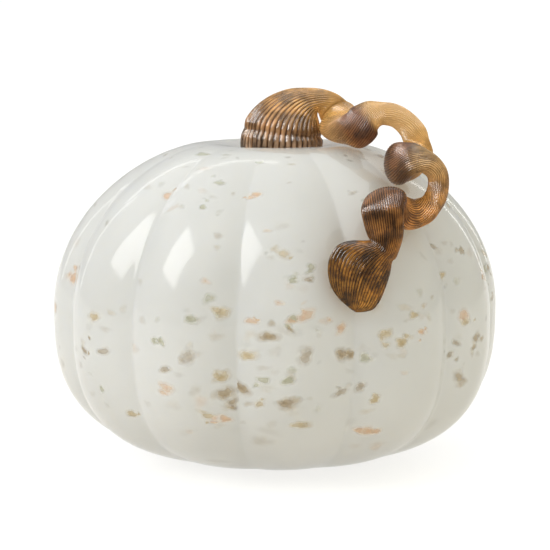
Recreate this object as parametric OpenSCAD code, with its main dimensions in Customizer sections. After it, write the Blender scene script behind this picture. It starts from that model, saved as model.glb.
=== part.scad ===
// Blown-glass pumpkin: a white glass body with coloured glass chips under a clear skin,
// and a reeded amber stem that was drawn out of the crown and curled down one shoulder.
// Millimetres. +Z is up, -Y is the front, and the origin is the middle of the flat base.

/* [Body] */
// Width across the lobe crests
body_width = 200; // [190:1:210]
// Height of the body before the crown is pressed in
body_height = 147; // [143:1:151]
// Height of the widest level
belly_height = 66; // [63:1:69]
// Number of lobes
lobe_count = 12; // [10:2:16]
// Depth of the grooves at the widest level
groove_depth = 5.3; // [3:0.1:6]
// Depth of the hollow pressed into the crown
crown_dip = 11; // [9:0.5:12]

/* [Glass layers] */
// Wall of the clear outer casing
casing_wall = 1.8; // [1.4:0.1:2.2]
// Room between the casing and the white layer, where the chips lie
chip_gap = 0.8; // [0.7:0.1:1.2]
// Wall of the white inner layer
opal_wall = 1.4; // [1:0.1:2.2]
// Radius of the hole in the crown that the stem closes
mouth_r = 9; // [7:0.5:10]

/* [Chips] */
// Thickness of a melted chip
chip_thick = 0.4; // [0.3:0.05:0.5]
// Share of the facets below the belly that hold a scattered chip
lower_share = 0.17; // [0:0.01:0.3]
// Share of the facets above the belly that hold a scattered chip
upper_share = 0.05; // [0:0.01:0.2]
// Seed of the scatter
scatter_seed = 11; // [1:1:99]

/* [Stem] */
// Room between the stem's foot and the crown
foot_gap = 0.3; // [0.2:0.05:0.6]
// How far the plug under the foot hangs into the crown's hole
plug_drop = 6; // [4:0.5:9]
// Sides of the stem's sections
stem_sides = 24; // [16:4:32]

/* [Hidden] */

// ---- Body surface ----
// Squareness of the body's upright outline above and below the belly; 2 is an ellipse
top_square = 2.05;
base_square = 2.8;
// How far the lower outline would run below the floor if the base were not flat
base_sink = 1.5;
// Half-width of the crown's hollow, as a share of the body's half-width
dip_share = 0.27;
// Softness of the creases, and how round the lobes are between them
crease_soft = 0.02;
lobe_round = 0.4;
// How fast the grooves fade towards the crown and the base
groove_fade = 1.6;
// Facets of the body: columns round it, and rings below and above the belly
columns = 6 * lobe_count;
base_rings = 10;
top_rings = 18;
// The same for the inside of the white layer, which is out of sight
inner_base_rings = 6;
inner_top_rings = 12;
half_width = body_width / 2;

function bare_lobe(azimuth) =
    pow((pow(cos(lobe_count / 2 * azimuth), 2) + crease_soft) / (1 + crease_soft), lobe_round);
// 1 along a lobe's crest and 0 along a groove; azimuth 0 is the front, 90 is +X
function lobe(azimuth) =
    let(groove = bare_lobe(180 / lobe_count))
    (bare_lobe(azimuth) - groove) / (1 - groove);
function crown_hollow(share) = crown_dip * exp(-pow(share / dip_share, 2));
// A point of the body's surface, inset from the outside, at a latitude from -90 to 90
function skin_point(inset, latitude, azimuth) =
    let(above = latitude >= 0,
        square_ness = above ? top_square : base_square,
        share = pow(abs(cos(latitude)), 2 / square_ness),
        rise = pow(abs(sin(latitude)), 2 / square_ness),
        z = above
            ? belly_height + (body_height - inset - belly_height) * rise - crown_hollow(share)
            : belly_height - (belly_height + base_sink - inset) * rise,
        r = (half_width - inset) * share
            - groove_depth * (1 - lobe(azimuth)) * pow(share, groove_fade))
    [r * sin(azimuth), -r * cos(azimuth), inset > 0 ? max(z, inset) : z];
// Height of the casing's outside over a place near the crown's middle
function crown_height(x, y) =
    let(r = norm([x, y]),
        creased = groove_depth * (1 - lobe(atan2(x, -y))) * pow(r / half_width, groove_fade),
        share = (r + creased) / half_width)
    belly_height + (body_height - belly_height) * pow(1 - pow(share, top_square), 1 / top_square)
        - crown_hollow(share);

function mouth_latitude(inset) = acos(pow(mouth_r / (half_width - inset), top_square / 2));
function latitudes(inset, below, above) =
    concat([for (i = [1:below]) -90 + 90 * i / below],
           [for (i = [1:above]) mouth_latitude(inset) * i / above]);
function skin(inset, below, above) =
    [for (latitude = latitudes(inset, below, above))
        [for (j = [0:columns - 1]) skin_point(inset, latitude, 360 * j / columns)]];

// Triangles between two rings of n points that start at index a and b of the point list
function band(a, b, n) =
    [for (j = [0:n - 1], half = [0, 1])
        let(k = (j + 1) % n)
        half == 0 ? [a + j, b + j, b + k] : [a + j, b + k, a + k]];
function bands(first, rings, n) =
    [for (i = [0:rings - 2]) each band(first + i * n, first + (i + 1) * n, n)];
function fan_under(centre, first, n) = [for (j = [0:n - 1]) [centre, first + j, first + (j + 1) % n]];
function reversed(faces) = [for (face = faces) [face[0], face[2], face[1]]];
function centre_of(ring) = [for (axis = [0:2]) [for (p = ring) p[axis]] * [for (p = ring) 1] / len(ring)];
function flat(rings) = [for (ring = rings) each ring];

// A shell between two insets, open only at the crown's hole
module shell(outer_inset, inner_inset, inner_below, inner_above) {
    outside = skin(outer_inset, base_rings, top_rings);
    inside = skin(inner_inset, inner_below, inner_above);
    n = columns;
    outside_count = len(outside);
    inside_count = len(inside);
    inside_first = outside_count * n;
    outside_pole = inside_first + inside_count * n;
    polyhedron(
        points = concat(flat(outside), flat(inside),
                        [skin_point(outer_inset, -90, 0), skin_point(inner_inset, -90, 0)]),
        faces = concat(
            bands(0, outside_count, n),
            reversed(bands(inside_first, inside_count, n)),
            band((outside_count - 1) * n, inside_first + (inside_count - 1) * n, n),
            fan_under(outside_pole, 0, n),
            reversed(fan_under(outside_pole + 1, inside_first, n))));
}

// The floor takes off what the lower outline leaves below it, a little wider than the base
module below_floor() {
    width = 1.2 * half_width;
    depth = 10;
    translate([-width / 2, -width / 2, -depth])
        cube([width, width, depth]);
}

module clear_casing() {
    color("#eef2ef", 0.45)
        difference() {
            shell(0, casing_wall, base_rings, top_rings);
            below_floor();
        }
}

module opal_shell() {
    outer_inset = casing_wall + chip_gap;
    color("#e6e6df")
        shell(outer_inset, outer_inset + opal_wall, inner_base_rings, inner_top_rings);
}

// ---- Chips ----
// Each chip lies flat on one facet of the layer between the two walls.
chip_inset = casing_wall + chip_gap / 2;
chip_rings = skin(chip_inset, base_rings, top_rings);
chip_sides = 7;
// Nearest and furthest corner of a chip from its middle, as shares of its size
chip_corners = [0.38, 0.5];
// A chip is at most this share of its facet, and keeps this many half-sizes from the edges
chip_share = 0.8;
chip_margin = 1.15;
// Chips of one colour by hand: azimuth in degrees, height and size in millimetres
tan_front = [[-19, 78, 4.2], [-3, 101, 3.2], [23, 68, 3.4], [27, 62, 3.4], [30, 73, 2.6],
             [-12, 58, 4.2], [-20, 49, 4], [0, 31, 4], [-9, 40, 2.6], [21, 40, 3.2],
             [-57, 71, 3.4], [-50, 30, 3], [46, 88, 2.6], [-23, 34, 3], [52, 66, 3]];
brown_front = [[-7, 68, 4.2], [51, 43, 4.6], [10, 58, 4.2], [-18, 44, 5], [-14, 47, 4.2],
               [-16, 40, 4], [-2, 38, 5.4], [-61, 54, 3], [55, 58, 3.4], [14, 57, 3]];
peach_front = [[-47, 120, 3.4], [-12, 123, 2.8], [-78, 83, 4], [-11, 73, 2.8], [2, 77, 4.4],
               [11, 72, 3.4], [50, 71, 4.2], [-33, 45, 4], [20, 26, 4.2], [-20, 33, 3.2],
               [33, 66, 2.4]];
taupe_front = [[2, 58, 4.4], [-27, 57, 4.8], [11, 44, 3.6], [17, 45, 3.2], [-54, 55, 3.2],
               [-33, 52, 3], [3, 92, 2.2], [47, 53, 2.6], [46, 100, 2.6], [56, 98, 2.4],
               [49, 57, 2.4]];
sage_front = [[-22, 83, 3.2], [-26, 73, 3.2], [-1, 76, 2.6], [18, 56, 3.6], [-2, 49, 3.4],
              [-14, 135, 2.4], [-34, 64, 2.6], [-8, 50, 2.8], [4, 96, 2.4], [-1, 91, 2.2],
              [-56, 40, 2.4], [-55, 137, 4], [-27, 127, 2.4], [-30, 118, 2]];
front_chips = [tan_front, brown_front, peach_front, taupe_front, sage_front];
// The scattered chips keep out of the span of azimuths where the chips are placed by hand
hand_span = [-82, 62];

function height_latitude(z) =
    z >= belly_height
    ? asin(pow((z - belly_height) / (body_height - chip_inset - belly_height), top_square / 2))
    : -asin(pow((belly_height - z) / (belly_height + base_sink - chip_inset), base_square / 2));
// A place on the facet grid: ring and column, each with its fraction
function grid_place(azimuth, z) =
    let(latitude = height_latitude(z),
        along = latitude < 0
            ? (latitude + 90) / 90 * base_rings - 1
            : base_rings - 1 + latitude / mouth_latitude(chip_inset) * top_rings,
        round_it = (azimuth + 360) % 360 / 360 * columns)
    [along, round_it];

facet_count = (base_rings + top_rings - 1) * columns;
function draws(first, last, offset) = rands(first, last, facet_count, scatter_seed + offset);
chance = draws(0, 1, 0);
colour_draw = draws(0, 1, 1);
size_draw = draws(2, 4, 2);
along_draw = draws(0, 1, 3);
across_draw = draws(0, 1, 4);
colour_shares = [0.28, 0.46, 0.66, 0.83, 1];
// Rings near the base's middle and near the crown hold no scattered chip
first_scatter_ring = 1;
last_scatter_ring = base_rings + top_rings - 5;
// The lower share of chips holds up to this ring, a little above the belly
lower_band_top = base_rings + 2;

function in_hand_span(column) =
    let(azimuth = (360 * (column + 0.5) / columns + 180) % 360 - 180)
    azimuth > hand_span[0] && azimuth < hand_span[1];
// Scattered chips of one colour: ring and column with fractions, and size
function scattered(colour) =
    [for (ring = [first_scatter_ring:last_scatter_ring], column = [0:columns - 1])
        let(k = ring * columns + column,
            share = ring < lower_band_top ? lower_share : upper_share,
            low = colour == 0 ? 0 : colour_shares[colour - 1])
        if (chance[k] < share && !in_hand_span(column)
            && colour_draw[k] >= low && colour_draw[k] < colour_shares[colour])
            [ring + along_draw[k], column + across_draw[k], size_draw[k]]];
function placed(colour) =
    [for (chip = front_chips[colour])
        let(place = grid_place(chip[0], chip[1]))
        [place[0], place[1], chip[2]]];

function middle(value, margin) = max(margin, min(1 - margin, value));
// One chip on its facet, kept inside the facet's edges
module chip(place, spin) {
    ring = floor(place[0]);
    column = floor(place[1]);
    next_column = (column + 1) % columns;
    a = chip_rings[ring][column];
    b = chip_rings[ring][next_column];
    c = chip_rings[ring + 1][next_column];
    d = chip_rings[ring + 1][column];
    size = min(place[2], chip_share * norm(b - a), chip_share * norm(d - a));
    u = middle(place[1] - column, chip_margin * size / 2 / norm(b - a));
    v = middle(place[0] - ring, chip_margin * size / 2 / norm(d - a));
    centre = (a * (1 - u) + b * u) * (1 - v) + (d * (1 - u) + c * u) * v;
    out_raw = cross(c - a, d - b);
    out = out_raw / norm(out_raw);
    side_raw = (b - a) - out * ((b - a) * out);
    side = side_raw / norm(side_raw);
    up = cross(out, side);
    radii = rands(chip_corners[0], chip_corners[1], chip_sides, spin);
    multmatrix([[side.x, up.x, out.x, centre.x],
                [side.y, up.y, out.y, centre.y],
                [side.z, up.z, out.z, centre.z],
                [0, 0, 0, 1]])
        linear_extrude(chip_thick, center = true)
            polygon([for (i = [0:chip_sides - 1])
                let(turn = 360 * i / chip_sides + spin)
                size * radii[i] * [cos(turn), sin(turn)]]);
}

module chips(colour) {
    places = concat(placed(colour), scattered(colour));
    for (i = [0:len(places) - 1])
        chip(places[i], 37 * i + colour);
}

module tan_chips() { color("#c9b595") chips(0); }
module brown_chips() { color("#a58a62") chips(1); }
module peach_chips() { color("#dcbfa6") chips(2); }
module taupe_chips() { color("#b3a79b") chips(3); }
module sage_chips() { color("#b4b5a2") chips(4); }

// ---- Stem ----
// The stem is one skin through sections. A section is a centre, a half-width vector and a
// half-thickness vector, put together as nine numbers.
width_scale = body_width / 200;
height_scale = body_height / 147;

// The foot's upright outline: left x and z, right x and z, half-depth
foot_outline = [
    [-16, 138.5, 20.5, 138.5, 18.5],
    [-16, 141.5, 21, 140.5, 18.3],
    [-15.5, 146, 21, 142.5, 17.8],
    [-14, 150.5, 20.5, 144.5, 16.8],
    [-11, 155, 20, 147, 15.2],
    [-6, 159.5, 19.5, 149, 13.2],
    [0.5, 163, 19, 151, 11.2],
    [9, 165, 18.5, 153, 9.4]];

// The curl's route: x, y, z, half-width, half-thickness, and the way its broad side runs
curl_route = [
    [20.5, 0, 159, 8.4, 5.4, 0, -1, 0.1],
    [25, -1, 155.3, 8.4, 6.6, 0.4, -0.9, 0.1],
    [27.3, -4.5, 151.8, 9, 6.8, 0.6, -0.8, 0.1],
    [27.4, -11, 149, 9.6, 6.2, 0.8, -0.6, -0.1],
    [28.5, -19, 146.7, 9.4, 5.7, 0.9, -0.4, -0.2],
    [31, -25, 146.8, 8.6, 5.5, 0.8, -0.4, -0.4],
    [34, -28, 149, 8.5, 5.4, 0.7, -0.4, -0.6],
    [36.5, -29, 152, 8.5, 5.3, 0.6, -0.5, -0.6],
    [40, -29, 154.5, 8.3, 5.1, 0.3, -0.8, -0.4],
    [45.5, -30, 155, 8, 5, -0.1, -1, 0],
    [50.5, -31.5, 153.5, 8, 5, -0.1, -1, 0.1],
    [55, -34, 149.5, 8, 5.1, 0.1, -1, 0.1],
    [57.5, -36.5, 144.5, 8, 5.2, 0.2, -1, -0.1],
    [57, -39, 139.5, 8.2, 5.3, 0.3, -0.8, -0.6],
    [53, -43, 136, 8.6, 5.8, 0.2, -0.5, -0.8],
    [48, -50, 135, 9, 6.2, 0, -0.2, -1],
    [48.5, -58, 135.8, 9, 6.2, -0.1, -0.4, -0.9],
    [52.5, -62.5, 137.6, 8.6, 5.6, -0.3, -0.8, -0.6],
    [58, -63, 136.5, 8, 4.8, -0.1, -1, -0.1],
    [62.5, -63, 132, 7.6, 4.5, -0.1, -1, 0.1],
    [63, -64, 126, 7.5, 4.5, -0.1, -1, 0.1],
    [60.5, -66.5, 120.3, 7.6, 4.8, -0.1, -1, 0.1],
    [55.5, -70, 116.8, 7.8, 5.5, -0.1, -1, -0.2],
    [49.5, -73.5, 116, 8.1, 6, -0.1, -0.9, -0.4],
    [43.5, -77, 118, 8.5, 5.8, 0.6, -0.5, -0.6],
    [39, -82, 121.5, 8.7, 5.3, 1, -0.1, 0.1],
    [36.5, -88, 123, 8.8, 5.2, 0.9, 0, 0.3],
    [35.5, -92, 119.5, 8.8, 5, 1, -0.1, 0.1],
    [36, -93.5, 114, 8.2, 4.8, 1, -0.1, 0],
    [36.5, -94, 108.5, 7.2, 4.6, 1, -0.1, 0.1],
    [35.5, -94.5, 104, 6.6, 4.5, 0.9, 0, 0.3]];

// The tip is a pressed leaf of glass: its left edge, its right edge, and its half-thickness
tip_outline = [
    [26.5, -95.5, 107.5, 39.5, -93.5, 98.5, 4.3],
    [21, -96.5, 107.5, 38.7, -93.5, 94, 4],
    [16, -97.5, 105.5, 37.5, -93.5, 89.7, 3.7],
    [13, -98, 100.5, 36, -94, 85.7, 3.4],
    [12.5, -98, 94.5, 34, -94.5, 81.7, 3.1],
    [14, -98, 88.5, 31.5, -95, 79, 2.6],
    [17.5, -97, 83.5, 28, -95, 78, 1.9],
    [21.5, -96.5, 80, 24.5, -96, 78, 0.8]];

function unit(v) = v / norm(v);
function first_three(v) = [v[0], v[1], v[2]];
foot_centres = [for (f = foot_outline) [(f[0] + f[2]) / 2, 0, (f[1] + f[3]) / 2]];
curl_centres = [for (c = curl_route) first_three(c)];
tip_centres = [for (t = tip_outline) [t[0] + t[3], t[1] + t[4], t[2] + t[5]] / 2];
centres = concat(foot_centres, curl_centres, tip_centres);
function heading(i) = unit(centres[min(i + 1, len(centres) - 1)] - centres[i - 1]);
function section(centre, broad, thick) =
    let(s = width_scale, h = height_scale)
    [centre.x * s, centre.y * s, centre.z * h, broad.x * s, broad.y * s, broad.z * s,
     thick.x * s, thick.y * s, thick.z * s];

foot_sections = [for (i = [0:len(foot_outline) - 1])
    let(f = foot_outline[i])
    section(centres[i], [0, -f[4], 0], [(f[2] - f[0]) / 2, 0, (f[3] - f[1]) / 2])];
curl_sections = [for (i = [0:len(curl_route) - 1])
    let(c = curl_route[i],
        ahead = heading(len(foot_outline) + i),
        broad = [c[5], c[6], c[7]],
        across = unit(broad - ahead * (broad * ahead)))
    section(first_three(c), c[3] * across, c[4] * cross(ahead, across))];
tip_sections = [for (i = [0:len(tip_outline) - 1])
    let(t = tip_outline[i],
        ahead = heading(len(foot_outline) + len(curl_route) + i),
        broad = [t[3] - t[0], t[4] - t[1], t[5] - t[2]] / 2)
    section(first_three(tip_centres[i]), broad, t[6] * unit(cross(ahead, broad)))];
sections = concat(foot_sections, curl_sections, tip_sections);

// A smooth curve through the sections, with this many steps between neighbours
steps = 2;
function smooth(a, b, c, d, t) =
    (2 * b + (c - a) * t + (2 * a - 5 * b + 4 * c - d) * t * t
        + (3 * b - a - 3 * c + d) * t * t * t) / 2;
function section_at(i, t) =
    let(last = len(sections) - 1,
        b = sections[i],
        c = sections[min(i + 1, last)],
        a = i > 0 ? sections[i - 1] : 2 * b - c,
        d = i + 2 <= last ? sections[i + 2] : 2 * c - b)
    smooth(a, b, c, d, t);
function ring_at(i, t) =
    let(s = section_at(i, t))
    [for (j = [0:stem_sides - 1])
        let(turn = 360 * j / stem_sides)
        [s[0], s[1], s[2]] + cos(turn) * [s[3], s[4], s[5]] + sin(turn) * [s[6], s[7], s[8]]];
// The rings from one section to another, both included
function stem_rings(from, to) =
    concat([for (i = [from:to - 1], k = [0:steps - 1]) ring_at(i, k / steps)], [ring_at(to, 0)]);

curl_first = len(foot_outline);
tip_first = curl_first + len(curl_route) - 1;
stem_last = len(sections) - 1;

// A closed skin through rings of equal count
module loft(rings) {
    n = len(rings[0]);
    count = len(rings);
    polyhedron(
        points = concat(flat(rings), [centre_of(rings[0]), centre_of(rings[count - 1])]),
        faces = concat(
            bands(0, count, n),
            fan_under(count * n, 0, n),
            reversed(fan_under(count * n + 1, (count - 1) * n, n))));
}

plug_r = mouth_r - foot_gap - 0.2;
plug_top = crown_height(mouth_r, 0);
// The plug's rounded end: shares of its radius, and how far each is above its lowest level
plug_end = [[0.5, 0], [0.85, 0.8], [1, 2.5]];
// A level ring about an axis at x = offset
function level_ring(offset, r, z) =
    [for (j = [0:stem_sides - 1])
        let(turn = 360 * j / stem_sides)
        [offset + r * sin(turn), -r * cos(turn), z]];
function on_crown(ring) = [for (p = ring) [p.x, p.y, crown_height(p.x, p.y) + foot_gap]];

module stem_foot() {
    base = ring_at(0, 0);
    base_middle = centre_of(base);
    base_r = -base[0].y;
    underside = [for (share = [0:0.25:0.75])
        on_crown(level_ring(base_middle.x * share, plug_r + (base_r - plug_r) * share, 0))];
    plug = [for (step = plug_end)
        level_ring(0, plug_r * step[0], plug_top - plug_drop + step[1])];
    dome = stem_rings(0, curl_first);
    color("#7d5526")
        loft(concat(plug, underside, [on_crown(base)], [for (i = [1:len(dome) - 1]) dome[i]]));
}

module stem_curl() { color("#7d5526") loft(stem_rings(curl_first, tip_first)); }
module stem_tip() { color("#7d5526") loft(stem_rings(tip_first, stem_last)); }

clear_casing();
opal_shell();
tan_chips();
brown_chips();
peach_chips();
taupe_chips();
sage_chips();
stem_foot();
stem_curl();
stem_tip();
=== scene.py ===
"""Looks of a blown-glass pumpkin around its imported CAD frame. Metres, +Z up, -Y is the front.

The body is a white glass shell with melted chips on it under a clear casing, and the stem is one
reeded skin of amber glass. All of them ride on the frame's only body.
"""
import math

import bpy
import numpy as np
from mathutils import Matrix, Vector
from mathutils.bvhtree import BVHTree


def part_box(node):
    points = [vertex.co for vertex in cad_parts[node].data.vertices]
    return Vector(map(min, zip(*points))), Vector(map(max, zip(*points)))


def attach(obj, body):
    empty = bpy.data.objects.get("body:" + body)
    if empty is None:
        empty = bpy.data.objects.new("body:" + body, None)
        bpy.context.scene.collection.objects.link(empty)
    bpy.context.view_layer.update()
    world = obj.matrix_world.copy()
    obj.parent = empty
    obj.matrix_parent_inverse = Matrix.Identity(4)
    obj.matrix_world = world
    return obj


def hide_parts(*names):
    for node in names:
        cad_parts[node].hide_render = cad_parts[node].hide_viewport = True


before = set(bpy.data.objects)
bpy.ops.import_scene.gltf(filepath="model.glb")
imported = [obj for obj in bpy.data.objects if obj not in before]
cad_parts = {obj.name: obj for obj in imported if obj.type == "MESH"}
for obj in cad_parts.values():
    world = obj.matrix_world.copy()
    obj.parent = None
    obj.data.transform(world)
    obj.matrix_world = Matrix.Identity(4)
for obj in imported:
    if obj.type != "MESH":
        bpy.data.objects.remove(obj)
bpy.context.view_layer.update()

MM = 0.001
BODY = "root"
SEED = 7
random = np.random.default_rng(SEED)


# ---- Camera ----
VIEW_AZIMUTH = math.radians(-5)
VIEW_ELEVATION = math.radians(8.1)
VIEW_DISTANCE = 0.96
AIM = Vector((0, 0, 0.074))
LENS_MM = 139
FRAME_SHIFT = (-0.002, 0.027)


def direction(azimuth, elevation):
    """The way out of the pumpkin's middle: azimuth 0 is the front (-Y) and 90 is +X, in radians."""
    flat = math.cos(elevation)
    return Vector((math.sin(azimuth) * flat, -math.cos(azimuth) * flat, math.sin(elevation)))


def look_at(thing, target):
    thing.rotation_euler = (Vector(target) - thing.location).to_track_quat("-Z", "Y").to_euler()


def make_camera():
    data = bpy.data.cameras.new("camera")
    data.lens = LENS_MM
    data.shift_x, data.shift_y = FRAME_SHIFT
    camera = bpy.data.objects.new("camera", data)
    bpy.context.scene.collection.objects.link(camera)
    camera.location = AIM + direction(VIEW_AZIMUTH, VIEW_ELEVATION) * VIEW_DISTANCE
    look_at(camera, AIM)
    bpy.context.scene.camera = camera


make_camera()


# ---- Mesh and material helpers ----
def new_piece(name, points, faces, material, replaces=()):
    """A smooth piece of the object that rides on the frame."""
    mesh = bpy.data.meshes.new(name)
    mesh.from_pydata([tuple(p) for p in points], [], faces)
    mesh.polygons.foreach_set("use_smooth", [True] * len(mesh.polygons))
    mesh.update()
    piece = bpy.data.objects.new(name, mesh)
    bpy.context.scene.collection.objects.link(piece)
    mesh.materials.append(material)
    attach(piece, BODY)
    if replaces:
        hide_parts(*replaces)
    return piece


def band_faces(a, b, n):
    """Quads between two rings of n points that start at index a and b."""
    return [(a + j, b + j, b + (j + 1) % n, a + (j + 1) % n) for j in range(n)]


def grid_faces(first, rings, n):
    return [f for i in range(rings - 1) for f in band_faces(first + i * n, first + (i + 1) * n, n)]


def fan_faces(centre, first, n, flip=False):
    faces = [(centre, first + j, first + (j + 1) % n) for j in range(n)]
    return [f[::-1] for f in faces] if flip else faces


def add_attribute(mesh, name, values):
    """A number for each point, for a material to read."""
    attribute = mesh.attributes.new(name, "FLOAT", "POINT")
    attribute.data.foreach_set("value", np.asarray(values, np.float32))


class Nodes:
    """A short way to write the nodes of a material or of the world."""

    def __init__(self, owner, output="OutputMaterial"):
        owner.use_nodes = True
        self.owner = owner
        self.tree = owner.node_tree
        self.tree.nodes.clear()
        self.out = self.tree.nodes.new("ShaderNode" + output)

    def add(self, kind, **values):
        """A node with its sockets set: a value by name, or another node's output linked."""
        node = self.tree.nodes.new("ShaderNode" + kind)
        for name, value in values.items():
            key = name.replace("_", " ")
            if hasattr(node, name) and key not in node.inputs:
                setattr(node, name, value)
            else:
                self.put(node.inputs[key], value)
        return node

    def put(self, socket, value):
        if isinstance(value, bpy.types.NodeSocket):
            self.tree.links.new(value, socket)
        else:
            socket.default_value = value

    def math(self, operation, a, b, clamp=False):
        node = self.tree.nodes.new("ShaderNodeMath")
        node.operation = operation
        node.use_clamp = clamp
        self.put(node.inputs[0], a)
        self.put(node.inputs[1], b)
        return node.outputs[0]

    def place(self, scale=(1, 1, 1)):
        """The place in the frame, in metres, stretched by scale."""
        spot = self.tree.nodes.new("ShaderNodeTexCoord").outputs["Object"]
        mapping = self.tree.nodes.new("ShaderNodeMapping")
        self.put(mapping.inputs["Vector"], spot)
        mapping.inputs["Scale"].default_value = scale
        return mapping.outputs[0]

    def noise(self, vector, scale, detail=3.0, roughness=0.5):
        return self.add("TexNoise", Vector=vector, Scale=scale, Detail=detail,
                        Roughness=roughness).outputs["Fac"]

    def ramp(self, value, *stops):
        """A colour ramp through (position, colour) stops."""
        node = self.tree.nodes.new("ShaderNodeValToRGB")
        self.put(node.inputs[0], value)
        elements = node.color_ramp.elements
        while len(elements) < len(stops):
            elements.new(1.0)
        for element, (position, colour) in zip(elements, stops):
            element.position = position
            element.color = (*colour, 1) if len(colour) == 3 else colour
        return node.outputs[0]

    def grey_ramp(self, value, *stops):
        return self.ramp(value, *[(position, (grey,) * 3) for position, grey in stops])

    def attribute(self, name):
        return self.add("Attribute", attribute_name=name).outputs["Fac"]

    def light_path(self):
        return self.add("LightPath").outputs

    def mix(self, factor, a, b, blend="MIX"):
        node = self.tree.nodes.new("ShaderNodeMix")
        node.data_type = "RGBA"
        node.blend_type = blend
        self.put(node.inputs["Factor"], factor)
        for socket, value in ((node.inputs[6], a), (node.inputs[7], b)):
            self.put(socket, value if isinstance(value, bpy.types.NodeSocket) else (*value, 1))
        return node.outputs[2]

    def bump(self, height, distance, strength=1.0):
        return self.add("Bump", Height=height, Distance=distance, Strength=strength).outputs[0]

    def shader_mix(self, factor, a, b):
        node = self.tree.nodes.new("ShaderNodeMixShader")
        for socket, value in zip(node.inputs, (factor, a, b)):
            self.put(socket, value)
        return node.outputs[0]

    def finish(self, surface):
        self.tree.links.new(surface, self.out.inputs["Surface"])
        return self.owner


def material_nodes(name):
    return Nodes(bpy.data.materials.new(name))


def linear(red, green, blue):
    """Linear colour from an 8-bit display colour."""
    shares = [c / 255 for c in (red, green, blue)]
    return tuple(c / 12.92 if c <= 0.04045 else ((c + 0.055) / 1.055) ** 2.4 for c in shares)


def lets_lamps_through(nodes, glass, tint):
    """Glass that bends what is seen through it, but lets lamps and soft light straight through."""
    path = nodes.light_path()
    soft = nodes.math("MAXIMUM", path["Is Shadow Ray"], path["Is Diffuse Ray"])
    clear = nodes.add("BsdfTransparent", Color=(*tint, 1)).outputs[0]
    return nodes.shader_mix(soft, glass, clear)


# ---- Materials ----
GLASS_INDEX = 1.5
CASING_ROUGHNESS = 0.13
CASING_TINT = (0.972, 0.974, 0.97)
RIPPLE_DEPTH = 0.6 * MM
MATT = 0.5

# A noise's scale is how many of its cells lie in a metre, but the stem's streaks run on its own
# measures along and around it.
CASING_WAVES, CASING_RIPPLES, FINE_RIPPLE_SHARE = 28, 75, 0.45
OPAL_CLOUDS = 22
CHIP_MOTTLES, CHIP_PATCHES, PATCH_SHARE = 500, 330, 0.7
STEM_STREAKS, STEM_MOTTLES, STEM_CLOUDS, STEM_SPECKS = 5, 260, 120, 620

OPAL_DARK, OPAL_LIGHT = (206, 207, 206), (214, 215, 214)
# How far light spreads within the white glass, and its shares in red, green and blue
OPAL_DEPTH = 4 * MM
OPAL_SPREAD = (1.0, 0.9, 0.75)

STEM_INDEX = 1.33
STEM_SHADOW = (212, 190, 158)
# The stem's looks run along it by section, from its foot (0) to its tip (STAGES).
STAGES = 46
# The stem's colour along it is its amber tone with painted light. The arches and the loop are painted
# light gold, as if the white behind shone through them. The bottom pass and the bulges are painted dark
# purple-brown for the sheen and shade on them.
STEM_TINTS_AND_PAINTED_LIGHT = [
    (0, (215, 188, 162)), (3, (230, 174, 118)), (5, (255, 192, 112)), (8, (255, 200, 118)),
    (11, (255, 202, 120)), (12.3, (255, 205, 142)), (13.5, (165, 108, 66)), (15, (142, 92, 56)),
    (15.8, (255, 208, 138)), (19, (255, 210, 138)), (21.7, (255, 203, 122)), (22.7, (132, 92, 65)),
    (24.8, (142, 100, 70)), (25.8, (255, 215, 152)), (29, (255, 190, 106)), (31.5, (255, 180, 94)),
    (33, (144, 98, 65)), (36, (182, 126, 66)), (38, (196, 134, 58)), (46, (218, 158, 66))]
# How much the painted shade in the ribs' valleys and the darker mottles are washed out. It is most in
# the arches, which it paints lighter.
STEM_CLEAR = [
    (0, 0.0), (7, 0.1), (9, 0.42), (12, 0.35), (13.5, 0.0), (15, 0.0), (16, 0.5), (19, 0.58),
    (22, 0.5), (23, 0.0), (25.5, 0.1), (27, 0.15), (29, 0.1), (33, 0.0), (46, 0.0)]
# How much of the glass is seen through
STEM_SEE_THROUGH = [
    (0, 0.5), (7, 0.5), (12, 0.5), (13.5, 0.35), (15, 0.35), (16, 0.5), (21.5, 0.5),
    (22.7, 0.35), (24.8, 0.35), (26, 0.5), (31, 0.5), (33, 0.3), (46, 0.4)]
STEM_ROUGHNESS = [
    (0, 0.14), (6, 0.18), (9, 0.22), (12, 0.3), (15, 0.32), (16, 0.26), (21.5, 0.26),
    (23, 0.32), (25, 0.3), (26, 0.24), (34, 0.2), (46, 0.22)]
# Specks break up the ribs more and more from the first of these sections to the second. They are a
# painted stand-in for the back ribs, seen through the glass and crossing the front ones.
SPECKS_START, SPECKS_FULL = 35, 40
# Painted shade in the ribs' valleys, and a lighter painted shade on their slopes
VALLEY_PAINTED_SHADE, SLOPE_PAINTED_SHADE = (0.07, 0.032, 0.008), (0.38, 0.28, 0.17)


def casing_material():
    nodes = material_nodes("clear_glass")
    waves = nodes.noise(nodes.place(), CASING_WAVES, detail=1.0)
    ripples = nodes.noise(nodes.place((1, 1, 0.6)), CASING_RIPPLES, detail=2.0)
    height = nodes.math("ADD", waves, nodes.math("MULTIPLY", ripples, FINE_RIPPLE_SHARE))
    glass = nodes.add(
        "BsdfPrincipled", Base_Color=(1, 1, 1, 1), Roughness=CASING_ROUGHNESS, IOR=GLASS_INDEX,
        Transmission_Weight=1.0, Normal=nodes.bump(height, RIPPLE_DEPTH, 0.7)).outputs[0]
    return nodes.finish(lets_lamps_through(nodes, glass, CASING_TINT))


def opal_material():
    nodes = material_nodes("opal_glass")
    cloud = nodes.noise(nodes.place(), OPAL_CLOUDS)
    colour = nodes.ramp(cloud, (0.3, linear(*OPAL_DARK)), (0.7, linear(*OPAL_LIGHT)))
    opal = nodes.add(
        "BsdfPrincipled", Base_Color=colour, Roughness=MATT, Specular_IOR_Level=0.0,
        Subsurface_Weight=0.5, Subsurface_Radius=OPAL_SPREAD, Subsurface_Scale=OPAL_DEPTH).outputs[0]
    return nodes.finish(opal)


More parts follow.
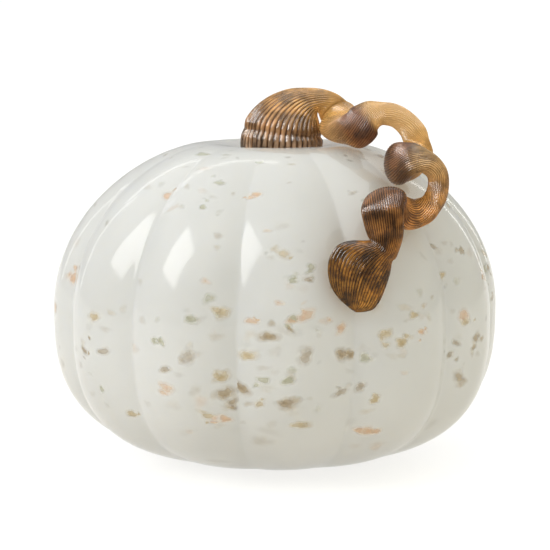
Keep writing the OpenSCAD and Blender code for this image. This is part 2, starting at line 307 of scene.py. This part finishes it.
def chip_material(name, dark, light):
    """A melted chip: mottled, thickest in the middle and fading out to a blurred edge."""
    nodes = material_nodes(name)
    mottle = nodes.noise(nodes.place(), CHIP_MOTTLES, detail=2.0)
    colour = nodes.ramp(mottle, (0.35, dark), (0.65, light))
    middle = nodes.attribute("middle")
    patch = nodes.math("SUBTRACT", nodes.noise(nodes.place(), CHIP_PATCHES, detail=1.0), 0.5)
    thickness = nodes.math("ADD", middle, nodes.math("MULTIPLY", patch, PATCH_SHARE))
    solid = nodes.grey_ramp(thickness, (0.05, 0.0), (0.35, 0.35), (0.9, 1.0))
    edge = nodes.grey_ramp(middle, (0.0, 0.0), (0.25, 0.3), (0.6, 1.0))
    soft = nodes.math("MULTIPLY", solid, edge)
    cover = nodes.math("MULTIPLY", soft, nodes.attribute("depth"), clamp=True)
    chip = nodes.add("BsdfPrincipled", Base_Color=colour, Roughness=MATT, Specular_IOR_Level=0.0,
                     Alpha=cover).outputs[0]
    return nodes.finish(chip)


def stem_material():
    """Tinted glass with darker mottles and painted shade in the valleys of its ribs, with looks that
    change along it: painted light gold in the arches, and painted sheen and shade on the bulges.
    """
    nodes = material_nodes("amber_glass")
    stage = nodes.attribute("stage")

    def along_stem(table):
        return nodes.grey_ramp(stage, *[(at / STAGES, grey) for at, grey in table])

    def times(a, b):
        return nodes.mix(1.0, a, b, "MULTIPLY")

    streak_place = nodes.add("CombineXYZ", X=nodes.attribute("around"), Y=nodes.attribute("around_too"),
                             Z=nodes.attribute("along")).outputs[0]
    streaks = nodes.math("MULTIPLY", nodes.noise(streak_place, STEM_STREAKS, roughness=0.6), 0.5)
    mottles = nodes.math("MULTIPLY", nodes.noise(nodes.place(), STEM_MOTTLES), 0.5)
    patches = nodes.math("ADD", streaks, mottles)
    patches = nodes.grey_ramp(patches, (0.40, 0.35), (0.5, 0.75), (0.58, 1.0))
    clouds = nodes.noise(nodes.place(), STEM_CLOUDS, detail=2.0)
    clouds = nodes.grey_ramp(clouds, (0.4, 0.3), (0.6, 1.0))
    specks = nodes.noise(nodes.place(), STEM_SPECKS, detail=2.0)
    specks = nodes.grey_ramp(specks, (0.38, 0.5), (0.58, 1.0))
    broken = along_stem([(SPECKS_START, 0.0), (SPECKS_FULL, 1.0)])
    patches = nodes.mix(broken, patches, times(patches, specks))
    # Painted shade: the ribs' valleys are painted dark and their slopes a little less. dark holds this
    # painted shade together with the darker mottles.
    groove = nodes.ramp(nodes.attribute("rib"), (0.3, VALLEY_PAINTED_SHADE), (0.6, SLOPE_PAINTED_SHADE), (0.9, (1, 1, 1)))
    dark = times(times(patches, clouds), groove)
    # Colour along the stem, with painted light: light gold in the arches, and painted sheen and shade
    # on the bulges.
    tint_and_painted_light = nodes.ramp(stage, *[(at / STAGES, linear(*colour)) for at, colour in STEM_TINTS_AND_PAINTED_LIGHT])
    colour = times(tint_and_painted_light, nodes.mix(along_stem(STEM_CLEAR), dark, (1, 1, 1)))
    glass = nodes.add(
        "BsdfPrincipled", Base_Color=colour, Roughness=along_stem(STEM_ROUGHNESS), IOR=STEM_INDEX,
        Transmission_Weight=along_stem(STEM_SEE_THROUGH)).outputs[0]
    return nodes.finish(lets_lamps_through(nodes, glass, linear(*STEM_SHADOW)))


# ---- Body surface ----
# The body's profile is a squared ellipse, and its grooves fade towards the poles.
body_low, body_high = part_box("clear_casing")
HALF_WIDTH = (body_high.x - body_low.x) / 2
LOBES = 12
BODY_HEIGHT = 147 * MM
BELLY = 66 * MM
GROOVE = 5.3 * MM
CROWN_DIP = 11 * MM
BASE_SINK = 1.5 * MM
MOUTH_R = 9 * MM
TOP_SQUARE = 2.05
BASE_SQUARE = 2.8
DIP_SHARE = 0.27
CREASE_SOFT = 0.01
LOBE_ROUND = 0.4
GROOVE_FADE = 1.6
# How much closer together the columns of points stand beside the grooves
CROWDING = 0.75
CASING_WALL = 1.8 * MM
CHIP_GAP = 0.8 * MM
OPAL_WALL = 1.4 * MM
OPAL_INSET = CASING_WALL + CHIP_GAP
# The casing's inside lies a hair within the white layer, so that the two read as fused glass.
FUSED = 0.05 * MM
# Columns of points round a shell, and its rings of points below and above the belly
COLUMNS = 30 * LOBES
OPAL_RINGS = (40, 72)
OPAL_INNER_RINGS = (20, 40)
CASING_RINGS = (50, 90)


def bare_lobe(azimuth):
    crest = np.cos(LOBES / 2 * azimuth) ** 2
    return ((crest + CREASE_SOFT) / (1 + CREASE_SOFT)) ** LOBE_ROUND


def lobe(azimuth):
    """1 along a lobe's crest and 0 along a groove."""
    groove = bare_lobe(math.pi / LOBES)
    return (bare_lobe(azimuth) - groove) / (1 - groove)


def column_azimuths(columns):
    """Azimuths round the body, closer together beside the grooves."""
    lobe_turn = np.linspace(0, LOBES, columns, endpoint=False)
    crowded = lobe_turn - CROWDING * np.sin(2 * math.pi * lobe_turn) / (2 * math.pi)
    return (crowded - 0.5) * 2 * math.pi / LOBES


def skin_points(inset, latitudes, columns):
    """Rings of points of the body's surface, inset from the outside."""
    azimuth = column_azimuths(columns)[None, :]
    latitude = np.asarray(latitudes)[:, None]
    above = latitude >= 0
    square = np.where(above, TOP_SQUARE, BASE_SQUARE)
    share = np.abs(np.cos(latitude)) ** (2 / square)
    rise = np.abs(np.sin(latitude)) ** (2 / square)
    top = BELLY + (BODY_HEIGHT - inset - BELLY) * rise - CROWN_DIP * np.exp(-(share / DIP_SHARE) ** 2)
    bottom = BELLY - (BELLY + BASE_SINK - inset) * rise
    z = np.maximum(np.where(above, top, bottom), inset) + 0 * azimuth
    r = (HALF_WIDTH - inset) * share - GROOVE * (1 - lobe(azimuth)) * share ** GROOVE_FADE
    return np.stack([r * np.sin(azimuth), -r * np.cos(azimuth), z], -1)


def shell_mesh(outer_inset, inner_inset, outer_rings, inner_rings):
    """Points and faces of a shell that is open only at the crown's hole."""
    parts, starts, first = [], [], 0
    for inset, (below, above) in ((outer_inset, outer_rings), (inner_inset, inner_rings)):
        mouth = math.acos((MOUTH_R / (HALF_WIDTH - inset)) ** (TOP_SQUARE / 2))
        latitudes = np.concatenate([np.linspace(-math.pi / 2, 0, below + 1)[1:],
                                    np.linspace(0, mouth, above + 1)[1:]])
        pole = skin_points(inset, [-math.pi / 2], COLUMNS)[0].mean(0)
        parts += [skin_points(inset, latitudes, COLUMNS).reshape(-1, 3), pole[None, :]]
        starts.append((first, len(latitudes)))
        first += len(latitudes) * COLUMNS + 1
    (a, a_rings), (b, b_rings) = starts
    outside = grid_faces(a, a_rings, COLUMNS)
    rim = band_faces(a + (a_rings - 1) * COLUMNS, b + (b_rings - 1) * COLUMNS, COLUMNS)
    faces = [f[::-1] for f in outside] + grid_faces(b, b_rings, COLUMNS) + [f[::-1] for f in rim]
    faces += fan_faces(a + a_rings * COLUMNS, a, COLUMNS, flip=True)
    faces += fan_faces(b + b_rings * COLUMNS, b, COLUMNS)
    return np.concatenate(parts), faces


opal_points, opal_faces = shell_mesh(OPAL_INSET, OPAL_INSET + OPAL_WALL, OPAL_RINGS, OPAL_INNER_RINGS)
new_piece("opal_shell_glass", opal_points, opal_faces, opal_material(), ["opal_shell"])
casing_points, casing_faces = shell_mesh(0, OPAL_INSET + FUSED, CASING_RINGS, OPAL_RINGS)
new_piece("clear_casing_glass", casing_points, casing_faces, casing_material(),
          ["clear_casing"])


# ---- Chips ----
CHIP_SIDES = 18
# Rings of a chip's points, as shares of its reach
CHIP_RINGS = (0.35, 0.65, 0.85, 1.0)
# How much a chip spreads as it melts, how proud of the white it stands and how deep its edge sinks
CHIP_SWELL = 2.5
CHIP_THICK = 0.15 * MM
CHIP_ROOT = 0.12 * MM
# An outline's waves: how many go round a chip, and how high they are as a share of its reach
CHIP_WAVES = ((2, 0.16), (3, 0.1), (5, 0.06))
# Each kind's stray chips: how many, and the ranges of their elevation, size in mm and strength
STRAY_CHIPS = 14
STRAY_ELEVATION, STRAY_SIZE, STRAY_DEPTH = (0.1, 1.1), (3.5, 6.5), (0.2, 0.5)
# A chip's companions, near and far: how many, how far off, how big and how strongly they show
COMPANIONS = (((1, 5), 0.32, (0.4, 0.8), (0.3, 0.8)), ((2, 6), 1.7, (0.45, 1.05), (0.1, 0.32)))
# Corners of the CAD mesh that are nearer than this are one corner.
WELD = 0.01 * MM
# Dark and light display colours of each kind
CHIP_COLOURS = {
    "tan": ((172, 154, 116), (190, 174, 140)),
    "brown": ((138, 118, 84), (164, 146, 112)),
    "peach": ((198, 161, 127), (206, 179, 149)),
    "taupe": ((152, 141, 122), (174, 163, 146)),
    "sage": ((158, 158, 134), (176, 175, 155)),
}


def islands(node):
    """The point clouds of a CAD node's separate solids."""
    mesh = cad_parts[node].data
    points = np.array([v.co for v in mesh.vertices])
    keys, index = np.unique(np.round(points / WELD).astype(int), axis=0, return_inverse=True)
    index = index.reshape(-1)
    owner = list(range(len(keys)))

    def root(k):
        while owner[k] != k:
            owner[k] = owner[owner[k]]
            k = owner[k]
        return k

    for polygon in mesh.polygons:
        corners = [root(index[v]) for v in polygon.vertices]
        for corner in corners[1:]:
            owner[root(corner)] = root(corners[0])
    groups = {}
    for k in range(len(keys)):
        groups.setdefault(root(k), []).append(k)
    return [keys[members] * WELD for members in groups.values()]


skin_tree = BVHTree.FromPolygons([tuple(p) for p in opal_points], opal_faces)


def flake(centre, size):
    """Rings of points of one melted chip that lies on the white layer, and how far in each is."""
    spot, normal, _, _ = skin_tree.find_nearest(Vector(centre))
    if normal.dot(Vector(centre) - Vector((0, 0, BELLY))) < 0:
        normal = -normal
    side = Vector((0, 0, 1)).cross(normal).normalized()
    up = normal.cross(side)
    turn, stretch = random.normal(0, 0.35), random.uniform(1.2, 2.0)
    phases = random.uniform(0, 2 * math.pi, 3)
    points, middles = [], []
    for share in (0.0, *CHIP_RINGS):
        count = CHIP_SIDES if share else 1
        for k in range(count):
            angle = 2 * math.pi * k / count
            wobble = 1
            for (waves, height), phase in zip(CHIP_WAVES, phases):
                wobble += height * math.sin(waves * angle + phase)
            reach = share * wobble * size / 2
            x = reach * math.cos(angle) * math.sqrt(stretch)
            y = reach * math.sin(angle) / math.sqrt(stretch)
            flat = (spot + side * (x * math.cos(turn) - y * math.sin(turn))
                    + up * (x * math.sin(turn) + y * math.cos(turn)))
            on_skin, out, _, _ = skin_tree.find_nearest(flat)
            if out.dot(normal) < 0:
                out = -out
            lift = CHIP_THICK * (1 - share ** 2) - CHIP_ROOT * share ** 4
            points.append(on_skin + out * lift)
            middles.append(1 - share)
    return points, middles


def stray_spots():
    """Faint chips anywhere above the belly: each one's place, size and how strongly it shows."""
    spots = []
    for _ in range(STRAY_CHIPS):
        azimuth, elevation = random.uniform(-math.pi, math.pi), random.uniform(*STRAY_ELEVATION)
        spots.append((Vector((0, 0, BELLY)) + direction(azimuth, elevation) * HALF_WIDTH,
                      random.uniform(*STRAY_SIZE) * MM, random.uniform(*STRAY_DEPTH)))
    return spots


def cluster_spots(cloud):
    """One chip of the CAD and its companions."""
    centre = cloud.mean(0)
    size = 2 * np.linalg.norm(cloud - centre, axis=1).max() * CHIP_SWELL
    spots = [(centre, size, random.uniform(0.75, 1.0))]
    for counts, scatter, sizes, depths in COMPANIONS:
        for _ in range(random.integers(*counts)):
            spots.append((centre + random.normal(0, scatter, 3) * size,
                          size * random.uniform(*sizes), random.uniform(*depths)))
    return spots


def make_chips(colour):
    node = colour + "_chips"
    spots = stray_spots()
    for cloud in islands(node):
        spots += cluster_spots(cloud)
    points, faces, middles, depths = [], [], [], []
    for spot, size, depth in spots:
        first = len(points)
        flake_points, flake_middles = flake(spot, size)
        points += flake_points
        middles += flake_middles
        depths += [depth] * len(flake_points)
        faces += fan_faces(first, first + 1, CHIP_SIDES)
        faces += grid_faces(first + 1, len(CHIP_RINGS), CHIP_SIDES)
    dark, light = CHIP_COLOURS[colour]
    material = chip_material(colour + "_glass", linear(*dark), linear(*light))
    piece = new_piece(colour + "_flakes", points, faces, material, [node])
    add_attribute(piece.data, "middle", middles)
    add_attribute(piece.data, "depth", depths)
    # A melted chip lies in the glass, so it casts no shadow and tints no light around it.
    piece.visible_shadow = False
    piece.visible_diffuse = False


for chip_colour in CHIP_COLOURS:
    make_chips(chip_colour)


# ---- Stem ----
# The foot's upright outline: left x and z, right x and z, half-depth, in millimetres
FOOT_OUTLINE = [
    [-16, 138.5, 20.5, 138.5, 18.5],
    [-16, 141.5, 21, 140.5, 18.3],
    [-15.5, 146, 21, 142.5, 17.8],
    [-14, 150.5, 20.5, 144.5, 16.8],
    [-11, 155, 20, 147, 15.2],
    [-6, 159.5, 19.5, 149, 13.2],
    [0.5, 163, 19, 151, 11.2],
    [9, 165, 18.5, 153, 9.4]]

# The curl's route: x, y, z, half-width, half-thickness, and the way its broad side runs
CURL_ROUTE = [
    [20.5, 0, 159, 8.4, 5.4, 0, -1, 0.1],
    [25, -1, 155.3, 8.4, 6.6, 0.4, -0.9, 0.1],
    [27.3, -4.5, 151.8, 9, 6.8, 0.6, -0.8, 0.1],
    [27.4, -11, 149, 9.6, 6.2, 0.8, -0.6, -0.1],
    [28.5, -19, 146.7, 9.4, 5.7, 0.9, -0.4, -0.2],
    [31, -25, 146.8, 8.6, 5.5, 0.8, -0.4, -0.4],
    [34, -28, 149, 8.5, 5.4, 0.7, -0.4, -0.6],
    [36.5, -29, 152, 8.5, 5.3, 0.6, -0.5, -0.6],
    [40, -29, 154.5, 8.3, 5.1, 0.3, -0.8, -0.4],
    [45.5, -30, 155, 8, 5, -0.1, -1, 0],
    [50.5, -31.5, 153.5, 8, 5, -0.1, -1, 0.1],
    [55, -34, 149.5, 8, 5.1, 0.1, -1, 0.1],
    [57.5, -36.5, 144.5, 8, 5.2, 0.2, -1, -0.1],
    [57, -39, 139.5, 8.2, 5.3, 0.3, -0.8, -0.6],
    [53, -43, 136, 8.6, 5.8, 0.2, -0.5, -0.8],
    [48, -50, 135, 9, 6.2, 0, -0.2, -1],
    [48.5, -58, 135.8, 9, 6.2, -0.1, -0.4, -0.9],
    [52.5, -62.5, 137.6, 8.6, 5.6, -0.3, -0.8, -0.6],
    [58, -63, 136.5, 8, 4.8, -0.1, -1, -0.1],
    [62.5, -63, 132, 7.6, 4.5, -0.1, -1, 0.1],
    [63, -64, 126, 7.5, 4.5, -0.1, -1, 0.1],
    [60.5, -66.5, 120.3, 7.6, 4.8, -0.1, -1, 0.1],
    [55.5, -70, 116.8, 7.8, 5.5, -0.1, -1, -0.2],
    [49.5, -73.5, 116, 8.1, 6, -0.1, -0.9, -0.4],
    [43.5, -77, 118, 8.5, 5.8, 0.6, -0.5, -0.6],
    [39, -82, 121.5, 8.7, 5.3, 1, -0.1, 0.1],
    [36.5, -88, 123, 8.8, 5.2, 0.9, 0, 0.3],
    [35.5, -92, 119.5, 8.8, 5, 1, -0.1, 0.1],
    [36, -93.5, 114, 8.2, 4.8, 1, -0.1, 0],
    [36.5, -94, 108.5, 7.2, 4.6, 1, -0.1, 0.1],
    [35.5, -94.5, 104, 6.6, 4.5, 0.9, 0, 0.3]]

# The tip's left edge, right edge and half-thickness
TIP_OUTLINE = [
    [26.5, -95.5, 107.5, 39.5, -93.5, 98.5, 4.3],
    [21, -96.5, 107.5, 38.7, -93.5, 94, 4],
    [16, -97.5, 105.5, 37.5, -93.5, 89.7, 3.7],
    [13, -98, 100.5, 36, -94, 85.7, 3.4],
    [12.5, -98, 94.5, 34, -94.5, 81.7, 3.1],
    [14, -98, 88.5, 31.5, -95, 79, 2.6],
    [17.5, -97, 83.5, 28, -95, 78, 1.9],
    [21.5, -96.5, 80, 24.5, -96, 78, 0.8]]

RIBS = 42
RIB_POINTS = 6
# A rib's depth as a share of its width, and the most of a section's arm that it may cut away
RIB_DEPTH = 0.5
DEEPEST_CUT = 0.3
# How near a rib's crest comes to a half circle, which is 1
RIB_ROUND = 0.96
RING_STEP = 0.95 * MM
# The foot is pinched in round one section
FOOT_PINCH = 0.9 * MM
PINCH_STAGE = 2.3
PINCH_WIDTH = 0.45
# The plug's rings, as shares of its radius and how far above its bottom they lie
PLUG_R = MOUTH_R - 0.5 * MM
PLUG_DROP = 6 * MM
PLUG_RINGS = ((0.5, 0), (0.85, 0.8 * MM), (1, 2.5 * MM))
# Rings under the foot, as shares of the way from the plug out to the foot's edge
UNDER_RINGS = (0.0, 0.15, 0.3, 0.45, 0.6, 0.75, 0.88)
# How fast the streaks change along the stem and round it
STREAKS_ALONG, STREAKS_ROUND = 18, 2
OUTLINE_STEPS = 720


def unit(v):
    return v / np.linalg.norm(v)


def stem_sections():
    """Sections from the foot to the tip: centre, half-width vector and half-thickness vector."""
    foot = np.array(FOOT_OUTLINE, float)
    curl = np.array(CURL_ROUTE, float)
    tip = np.array(TIP_OUTLINE, float)
    foot_x, foot_z = (foot[:, 0] + foot[:, 2]) / 2, (foot[:, 1] + foot[:, 3]) / 2
    foot_centres = np.stack([foot_x, 0 * foot_x, foot_z], 1)
    tip_centres = (tip[:, :3] + tip[:, 3:6]) / 2
    centres = np.concatenate([foot_centres, curl[:, :3], tip_centres])
    sections = []
    for i, centre in enumerate(centres):
        ahead = unit(centres[min(i + 1, len(centres) - 1)] - centres[max(i - 1, 0)])
        if i < len(foot):
            broad = [0, -foot[i, 4], 0]
            thick = [(foot[i, 2] - foot[i, 0]) / 2, 0, (foot[i, 3] - foot[i, 1]) / 2]
        elif i < len(foot) + len(curl):
            row = curl[i - len(foot)]
            across = unit(row[5:] - ahead * (row[5:] @ ahead))
            broad, thick = row[3] * across, row[4] * np.cross(ahead, across)
        else:
            row = tip[i - len(foot) - len(curl)]
            broad = (row[3:6] - row[:3]) / 2
            thick = row[6] * unit(np.cross(ahead, broad))
        sections.append(np.concatenate([centre, broad, thick]))
    return np.array(sections) * MM


def smooth_sections(sections):
    """Rows of a smooth curve through the sections, about RING_STEP apart, and each one's stage."""
    before, after = 2 * sections[0] - sections[1], 2 * sections[-1] - sections[-2]
    padded = np.concatenate([[before], sections, [after]])
    rows, stages = [], []
    for i in range(len(sections) - 1):
        a, b, c, d = padded[i:i + 4]
        reach = max(np.linalg.norm(c[:3] - b[:3]), 0.5 * np.linalg.norm(c[3:6] - b[3:6]))
        steps = max(2, round(reach / RING_STEP))
        for t in np.arange(steps) / steps:
            rows.append((2 * b + (c - a) * t + (2 * a - 5 * b + 4 * c - d) * t ** 2
                         + (3 * b - a - 3 * c + d) * t ** 3) / 2)
            stages.append(i + t)
    rows.append(sections[-1])
    stages.append(len(sections) - 1)
    return np.array(rows), np.array(stages)


def crown_height(x, y):
    """Height of the casing's outside over places near the crown's middle."""
    r = np.hypot(x, y)
    groove = GROOVE * (1 - lobe(np.arctan2(x, -y))) * (r / HALF_WIDTH) ** GROOVE_FADE
    share = (r + groove) / HALF_WIDTH
    return (BELLY + (BODY_HEIGHT - BELLY) * (1 - share ** TOP_SQUARE) ** (1 / TOP_SQUARE)
            - CROWN_DIP * np.exp(-(share / DIP_SHARE) ** 2))


def rib_valley(shares):
    """0 on a rib's crest, and 0.8 where it meets the next one in a valley."""
    across = 2 * np.abs((shares * RIBS) % 1 - 0.5)
    return 1 - np.sqrt(1 - RIB_ROUND * across ** 2)


def reeded_ring(section, stage, shares):
    """A ring of points round a section at shares of its outline, with its ribs cut in."""
    broad, thick = section[3:6], section[6:9]
    fine = np.linspace(0, 2 * math.pi, OUTLINE_STEPS + 1)
    speed = np.linalg.norm(np.outer(-np.sin(fine), broad) + np.outer(np.cos(fine), thick), axis=1)
    length = np.concatenate([[0], np.cumsum((speed[1:] + speed[:-1]) / 2)])
    turns = np.interp(shares, length / length[-1], fine)
    rib_width = length[-1] * (fine[1] - fine[0]) / RIBS
    arm = np.outer(np.cos(turns), broad) + np.outer(np.sin(turns), thick)
    reach = np.linalg.norm(arm, axis=1, keepdims=True)
    pinch = FOOT_PINCH * math.exp(-((stage - PINCH_STAGE) / PINCH_WIDTH) ** 2)
    groove = np.minimum(RIB_DEPTH * rib_width * rib_valley(shares)[:, None], DEEPEST_CUT * reach)
    return section[:3] + arm * (1 - (groove + pinch) / reach)


def underside(turns, edge):
    """Rings of the plug that closes the crown's hole, then out along the crown to the foot's edge."""
    circle = PLUG_R * np.stack([np.sin(turns), -np.cos(turns), 0 * turns], 1)
    plug_bottom = crown_height(np.array([PLUG_R]), np.array([0.0]))[0] - PLUG_DROP
    rings = [share * circle + [0, 0, plug_bottom + lift] for share, lift in PLUG_RINGS]
    for share in (*UNDER_RINGS, 1.0):
        ring = circle * (1 - share) + edge * share
        ring[:, 2] = crown_height(ring[:, 0], ring[:, 1])
        rings.append(ring)
    return rings


def make_stem():
    n = RIBS * RIB_POINTS
    shares = np.arange(n) / n
    turns = shares * 2 * math.pi
    rows, stages = smooth_sections(stem_sections())
    rings = [reeded_ring(row, stage, shares) for row, stage in zip(rows, stages)]
    rings = underside(turns, rings[0]) + rings[1:]
    count = len(rings)
    points = np.concatenate(rings + [rings[0].mean(0)[None, :], rings[-1].mean(0)[None, :]])
    faces = [f[::-1] for f in grid_faces(0, count, n)]
    faces += fan_faces(count * n, 0, n, flip=True) + fan_faces(count * n + 1, (count - 1) * n, n)
    piece = new_piece("stem_glass", points, faces, stem_material(),
                      ["stem_foot", "stem_curl", "stem_tip"])
    steps = [np.linalg.norm((b - a).mean(0)) for a, b in zip(rings, rings[1:])]
    along = np.concatenate([[0], np.cumsum(steps)]) * STREAKS_ALONG
    stage = np.concatenate([np.zeros(count - len(stages)), stages]) / stages[-1]
    # The last two points are the middles of the two ends.
    for name, by_ring in {"along": along, "stage": stage}.items():
        values = np.concatenate([np.repeat(by_ring, n), (by_ring[0], by_ring[-1])])
        add_attribute(piece.data, name, values)
    across, out = np.sin(turns) * STREAKS_ROUND, np.cos(turns) * STREAKS_ROUND
    # rib is 1 on a crest and falls in the valleys. The stem's material paints shade into the valleys
    # from it.
    for name, by_turn in {"around": out, "around_too": across, "rib": 1 - rib_valley(shares)}.items():
        add_attribute(piece.data, name, np.concatenate([np.tile(by_turn, count), (0, 0)]))


make_stem()


# ---- Floor, world and lamps ----
FLOOR_REACH = 6.0
FLOOR_LEVEL = -0.3 * MM
# The floor glows by itself, so that it looks white. It glows less in soft light and in reflections.
FLOOR_GLOW = 0.66
LESS_IN_SOFT_LIGHT, LESS_MIRRORED = 0.36, 0.14
FLOOR_SEEN, FLOOR_MIRRORED = (0.45, 0.45, 0.45), (0.5, 0.49, 0.46)
FLOOR_IN_SOFT_LIGHT = (0.54, 0.51, 0.45)
FLOOR_ROUGHNESS, FLOOR_SHINE = 0.25, 0.3
WARM_GLOW = (1, 0.94, 0.83)
# The reflected sky's brightness: FRONT_GLOW everywhere, and more of it straight up and behind
ZENITH = 1.3
BACK_GLOW = 0.3
FRONT_GLOW = 0.18
# How the reflected sky brightens from level, at 0, to straight up, at 1
SKY_RISE = ((0.0, 0.0), (0.45, 0.1), (0.8, 0.8), (1.0, 1.0))
# The room's soft light from the left and from the right, and the white behind the object
ROOM_LEFT, ROOM_RIGHT = (0.81, 0.82, 0.83), (0.86, 0.815, 0.645)
BACKDROP_WHITE = (1.02, 1.02, 1.02, 1)


def make_floor():
    nodes = material_nodes("floor_white")
    path = nodes.light_path()
    soft, mirrored = path["Is Diffuse Ray"], path["Is Glossy Ray"]
    colour = nodes.mix(mirrored, nodes.mix(soft, FLOOR_SEEN, FLOOR_IN_SOFT_LIGHT), FLOOR_MIRRORED)
    less = nodes.math("ADD", nodes.math("MULTIPLY", soft, LESS_IN_SOFT_LIGHT),
                      nodes.math("MULTIPLY", mirrored, LESS_MIRRORED))
    board = nodes.add(
        "BsdfPrincipled", Base_Color=colour, Roughness=FLOOR_ROUGHNESS,
        Specular_IOR_Level=FLOOR_SHINE,
        Emission_Color=nodes.mix(soft, (1, 1, 1), WARM_GLOW),
        Emission_Strength=nodes.math("SUBTRACT", FLOOR_GLOW, less)).outputs[0]
    mesh = bpy.data.meshes.new("floor")
    corners = [(x * FLOOR_REACH, y * FLOOR_REACH, FLOOR_LEVEL)
               for x, y in ((-1, -1), (1, -1), (1, 1), (-1, 1))]
    mesh.from_pydata(corners, [], [(0, 1, 2, 3)])
    mesh.materials.append(nodes.finish(board))
    floor = bpy.data.objects.new("floor", mesh)
    bpy.context.scene.collection.objects.link(floor)


def make_world():
    """White where it is seen, a grey that warms to the right for soft light, and for reflections a
    sky that is bright overhead and behind but dim in front."""
    world = bpy.data.worlds.new("studio")
    bpy.context.scene.world = world
    nodes = Nodes(world, "OutputWorld")
    path = nodes.light_path()
    seen = nodes.math("MAXIMUM", path["Is Camera Ray"], path["Is Transmission Ray"])
    way = nodes.add("SeparateXYZ", Vector=nodes.add("TexCoord").outputs["Generated"]).outputs
    # Each runs from 0 to 1: from the left to the right, and from the front to the back.
    rightward, behind = [nodes.math("ADD", nodes.math("MULTIPLY", way[axis], 0.5), 0.5, clamp=True)
                         for axis in (0, 1)]
    high = nodes.grey_ramp(way[2], *SKY_RISE)
    sky = nodes.math("ADD", nodes.math("MULTIPLY", high, ZENITH), nodes.math(
        "ADD", nodes.math("MULTIPLY", behind, BACK_GLOW), FRONT_GLOW))
    reflected = nodes.add("Background", Color=(1, 1, 1, 1), Strength=sky).outputs[0]
    room = nodes.add("Background", Color=nodes.mix(rightward, ROOM_LEFT, ROOM_RIGHT)).outputs[0]
    white = nodes.add("Background", Color=BACKDROP_WHITE).outputs[0]
    unseen = nodes.shader_mix(path["Is Glossy Ray"], room, reflected)
    nodes.finish(nodes.shader_mix(seen, unseen, white))


def softbox(name, azimuth, elevation, distance, size, radiance, roll, soft, only):
    """A rectangular lamp that faces the pumpkin; its power follows from how bright its face is. A
    soft one lights matt surfaces, and any other only shows in reflections. It may light one piece
    only."""
    data = bpy.data.lights.new(name, "AREA")
    data.shape = "RECTANGLE"
    data.size, data.size_y = size
    data.energy = radiance * size[0] * size[1] * math.pi
    lamp = bpy.data.objects.new(name, data)
    bpy.context.scene.collection.objects.link(lamp)
    lamp.location = AIM + direction(math.radians(azimuth), math.radians(elevation)) * distance
    look_at(lamp, AIM)
    lamp.rotation_euler.rotate_axis("Z", math.radians(roll))
    lamp.visible_diffuse = soft
    lamp.visible_glossy = not soft
    if only:
        group = bpy.data.collections.new(name + "_group")
        group.objects.link(bpy.data.objects[only])
        lamp.light_linking.receiver_collection = group


# Name, azimuth, elevation, distance, size, radiance, roll, whether it is soft, the only piece it lights
LAMPS = [
    ("key", -72, 32, 1.2, (0.545, 0.545), 4.7, 0, True, None),
    ("key_shine", -70, 38, 1.1, (0.5, 0.62), 4.2, -14, False, None),
    ("stem_shine", -70, 38, 1.0, (0.5, 0.6), 30.0, 0, False, "stem_glass"),
    ("stem_top", 15, 58, 1.0, (0.6, 0.6), 9.0, 0, False, "stem_glass"),
    ("stem_soft", 50, 62, 0.9, (0.6, 0.6), 3.0, 0, True, "stem_glass"),
    ("front", -5, 10, 2.0, (1.0, 1.0), 0.85, 0, True, None),
    ("overhead", 20, 85, 1.3, (1.6, 1.2), 0.45, 0, True, None),
    ("rim_left", -136, 20, 1.3, (0.05, 0.9), 1.8, 0, False, None),
    ("rim_left_high", -158, 45, 1.3, (0.05, 0.9), 2.5, 50, False, None),
    ("rim_right", 138, 20, 1.3, (0.05, 0.9), 3.5, 0, False, None)]

make_floor()
make_world()
for lamp_values in LAMPS:
    softbox(*lamp_values)

scene = bpy.context.scene
scene.view_settings.view_transform = "Standard"
scene.view_settings.look = "None"
scene.cycles.use_denoising = True
scene.cycles.max_bounces = 24
scene.cycles.transmission_bounces = 16
scene.cycles.transparent_max_bounces = 24
scene.cycles.caustics_reflective = False
